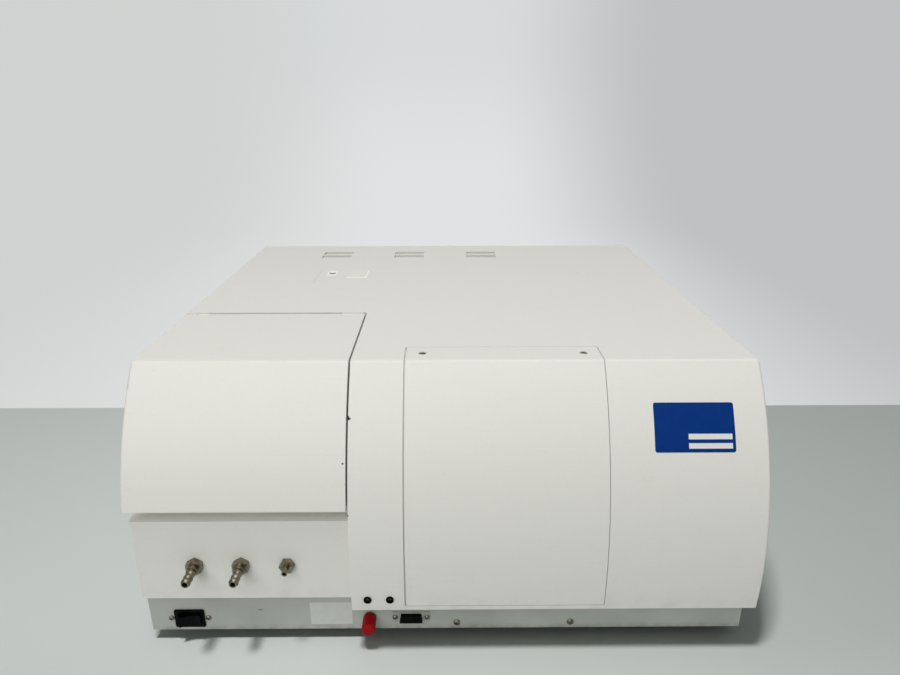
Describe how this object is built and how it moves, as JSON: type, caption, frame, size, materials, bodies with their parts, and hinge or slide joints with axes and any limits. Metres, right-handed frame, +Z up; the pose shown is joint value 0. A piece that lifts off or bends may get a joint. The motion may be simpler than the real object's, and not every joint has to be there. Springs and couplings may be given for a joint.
{
  "type": "benchtop fluorometer",
  "caption": "Free-standing benchtop fluorescence spectrophotometer with a curved front, hinged sample lid, removable centre panel and sheet-metal base.",
  "frame": {"origin": "under the middle of the instrument, on the bench, with the water nozzles' tips counted in its depth", "axes": "+X to the right seen from the front, +Y to the back, +Z up"},
  "size_m": [0.62, 0.612, 0.2961],
  "materials": {
    "cover_paint": "fine matt texture",
    "lid_paint": "fine matt texture",
    "panel_paint": "fine matt texture",
    "base_paint": "grey satin paint",
    "rubber": "matt",
    "black_paint": "matt black",
    "black_plastic": "satin",
    "nickel": "nickel plate, dulled",
    "zinc": "zinc plate",
    "steel": "machined",
    "cast_aluminium": "as cast",
    "sheet_metal": "zinc-coated sheet",
    "quartz": "clear",
    "mirror_coat": "polished",
    "foam": "closed-cell foam",
    "silicone": "translucent",
    "red_plastic": "soft moulded",
    "lamp_lens": "moulded",
    "board": "coated",
    "grille_grey": "moulded"
  },
  "bodies": {
    "root": {"base_chassis": "base_paint", "beam_splitter": "quartz", "capped_socket": "zinc", "cell_holder": "black_paint", "centre_panel": "panel_paint", "chamber_hoses": "silicone", "circuit_board": "board", "collecting_mirror": "mirror_coat", "condenser_lenses": "quartz", "cover_buffers": "rubber", "data_socket": "black_plastic", "dry_air_inlet": "nickel", "emission_housing": "black_paint", "excitation_housing": "black_paint", "fan_frame": "black_plastic", "fold_mirror": "mirror_coat", "grating_motors": "steel", "hinge_brackets": "black_paint", "hinge_pins": "steel", "holder_base": "black_paint", "housing_lids": "black_paint", "lamp_clamps": "steel", "lamp_house": "sheet_metal", "lens_barrels": "black_paint", "light_seal": "foam", "lower_front_panel": "panel_paint", "main_cover": "cover_paint", "mains_inlet": "black_plastic", "monitor_detector": "black_paint", "nozzle_nuts": "nickel", "optics_mounts": "rubber", "optics_plate": "cast_aluminium", "pan_head_screws": "zinc", "photomultiplier": "quartz", "power_supply": "sheet_metal", "power_switch_body": "black_plastic", "rear_panel": "base_paint", "rubber_feet": "rubber", "sample_chamber": "black_paint", "shutter_solenoid": "steel", "signal_socket": "black_plastic", "small_screws": "zinc", "status_lamp_bezels": "black_plastic", "status_lamps": "lamp_lens", "tube_housing": "black_paint", "vent_grilles": "grille_grey", "water_inlet": "nickel", "water_outlet": "nickel", "xenon_lamp": "quartz"},
    "lid": {"sample_lid": "lid_paint"},
    "rocker": {"power_rocker": "black_plastic"},
    "cap": {"red_cap": "red_plastic"},
    "excitation_table": {"excitation_turntable": "steel", "excitation_grating": "mirror_coat"},
    "emission_table": {"emission_turntable": "steel", "emission_grating": "mirror_coat"},
    "excitation_slits": {"excitation_slit_wheel": "black_paint"},
    "emission_slits": {"emission_slit_wheel": "black_paint"},
    "shutter": {"shutter_blade": "black_paint"},
    "fan": {"fan_rotor": "black_plastic"}
  },
  "joints": [
    {"name": "lid_hinge", "type": "hinge", "parent": "root", "child": "lid", "pos_m": [-0.203, -0.0667, 0.2925], "axis": [-1, 0, 0], "range_deg": [0, 80]},
    {"name": "rocker_pivot", "type": "hinge", "parent": "root", "child": "rocker", "pos_m": [-0.2673, -0.2685, 0.0295], "axis": [0, 0, -1], "range_deg": [0, 20]},
    {"name": "cap_pull", "type": "slide", "parent": "root", "child": "cap", "axis": [0, -1, 0], "range_m": [0, 0.02]},
    {"name": "excitation_grating_turn", "type": "hinge", "parent": "root", "child": "excitation_table", "pos_m": [-0.248, 0.078, 0.112], "axis": [0, 0, 1], "range_deg": [-10, 14]},
    {"name": "emission_grating_turn", "type": "hinge", "parent": "root", "child": "emission_table", "pos_m": [0.086, -0.165, 0.112], "axis": [0, 0, 1], "range_deg": [-14, 10]},
    {"name": "excitation_slit_turn", "type": "hinge", "parent": "root", "child": "excitation_slits", "pos_m": [-0.187, 0, 0.112], "axis": [0, -1, 0], "range_deg": [0, 270]},
    {"name": "emission_slit_turn", "type": "hinge", "parent": "root", "child": "emission_slits", "pos_m": [-0.084, -0.15, 0.112], "axis": [1, 0, 0], "range_deg": [0, 270]},
    {"name": "shutter_swing", "type": "hinge", "parent": "root", "child": "shutter", "pos_m": [-0.164, -0.0437, 0.142], "axis": [0, 1, 0], "range_deg": [0, 35]},
    {"name": "fan_spin", "type": "hinge", "parent": "root", "child": "fan", "pos_m": [-0.105, 0.289, 0.13], "axis": [0, 1, 0], "continuous": true}
  ]
}
